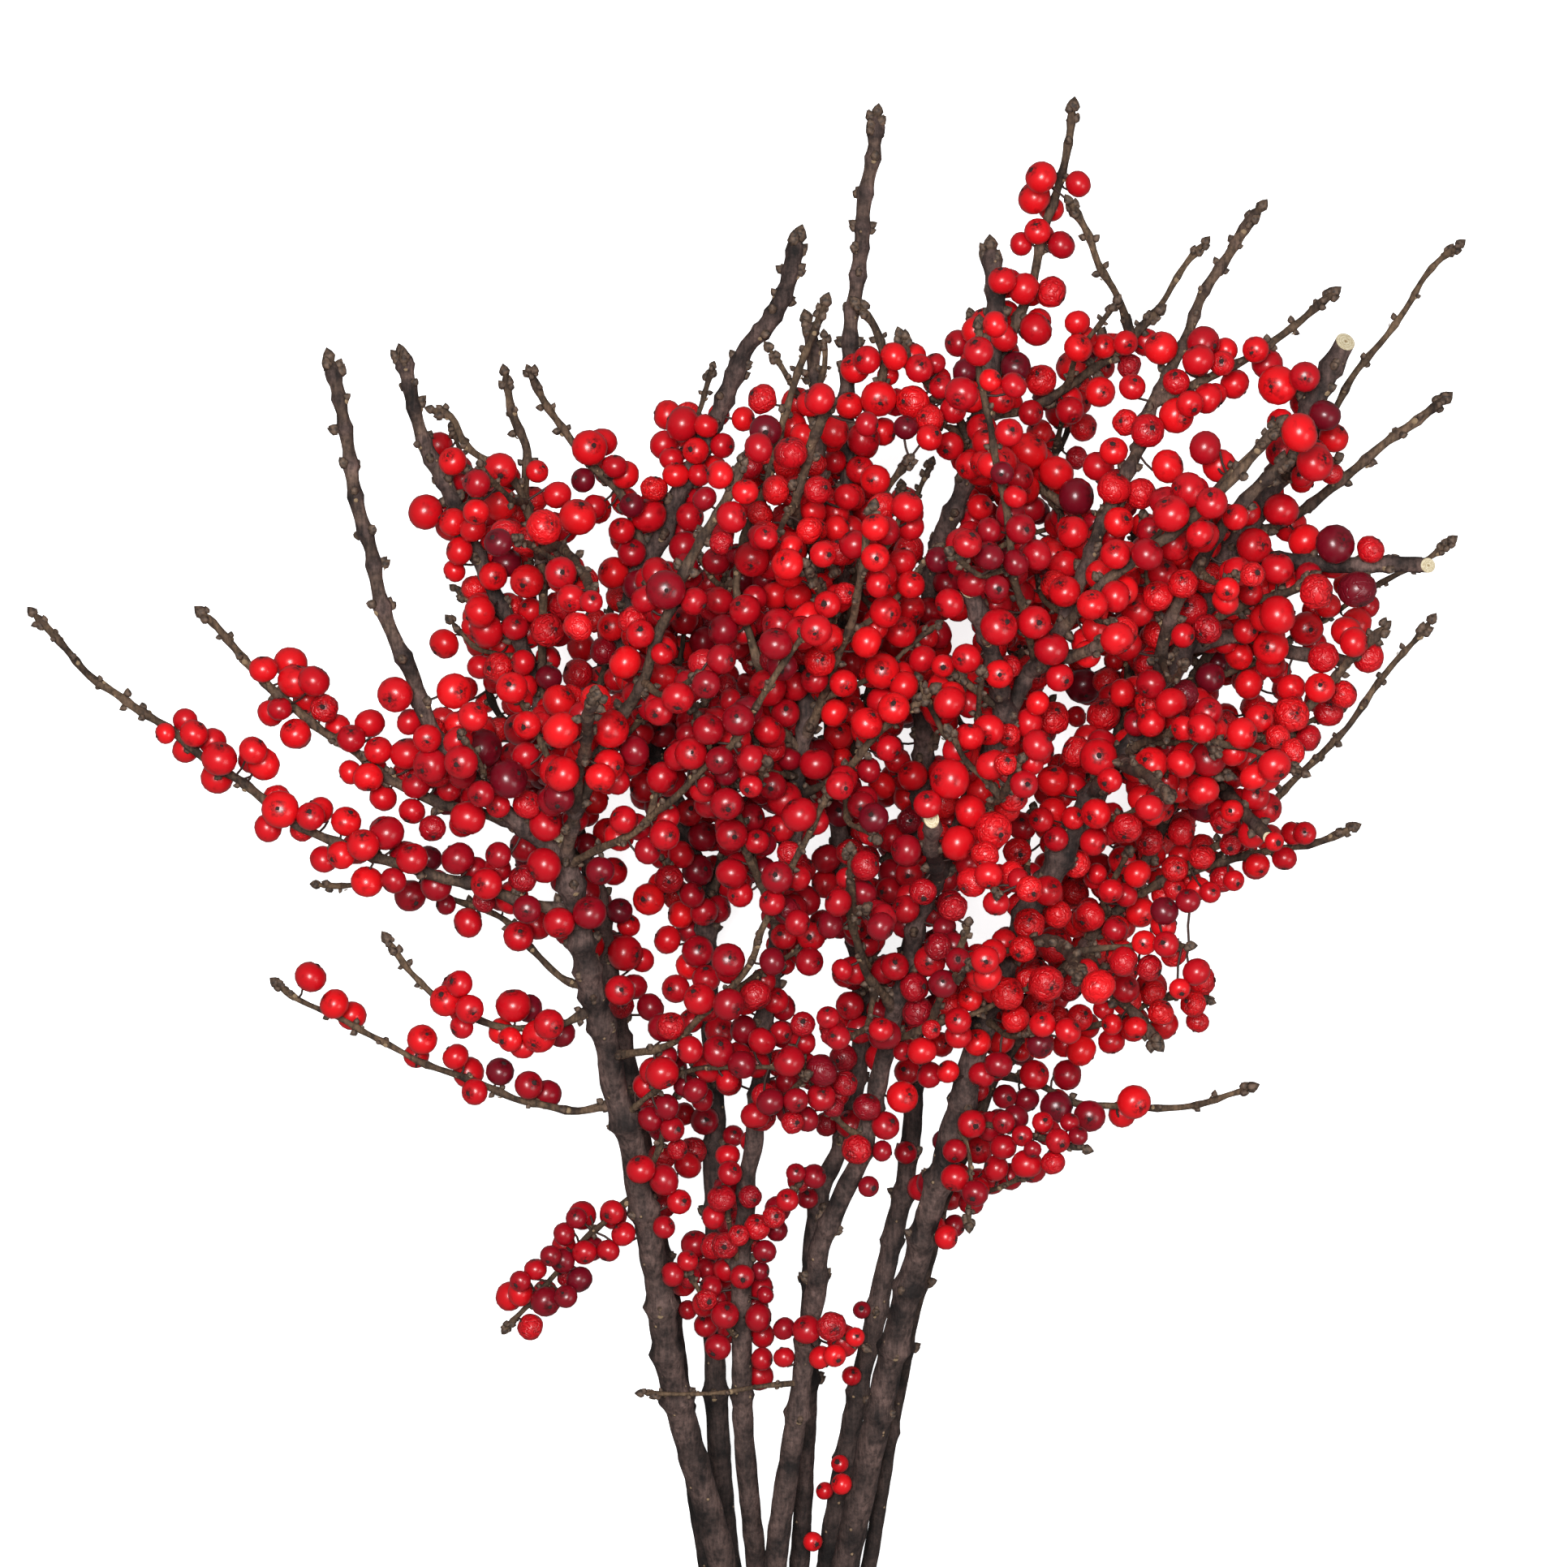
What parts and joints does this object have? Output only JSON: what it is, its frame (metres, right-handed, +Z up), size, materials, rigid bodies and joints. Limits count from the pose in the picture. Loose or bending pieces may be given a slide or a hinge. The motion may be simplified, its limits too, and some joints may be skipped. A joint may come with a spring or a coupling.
{
  "type": "winterberry branch bunch",
  "caption": "Leafless bunch of cut winterberry stems with spreading twigs full of round red berries, laid on its side.",
  "frame": {"origin": "on the table, below the middle of the bounding box", "axes": "+Y from the cut ends towards the tips, +Z up from the table, +X to the right as seen from above with the tips away"},
  "size_m": [0.4189, 0.5596, 0.2117],
  "materials": {
    "bark": "rough grey-brown bark, with glossy red berries grown on it"
  },
  "bodies": {
    "root": {"branch_left": "bark", "branch_left_back": "bark", "branch_middle_back": "bark", "branch_middle_left": "bark", "branch_middle": "bark", "branch_centre_back": "bark", "branch_right_back": "bark", "branch_right": "bark", "branch_right_low": "bark"}
  },
  "joints": []
}
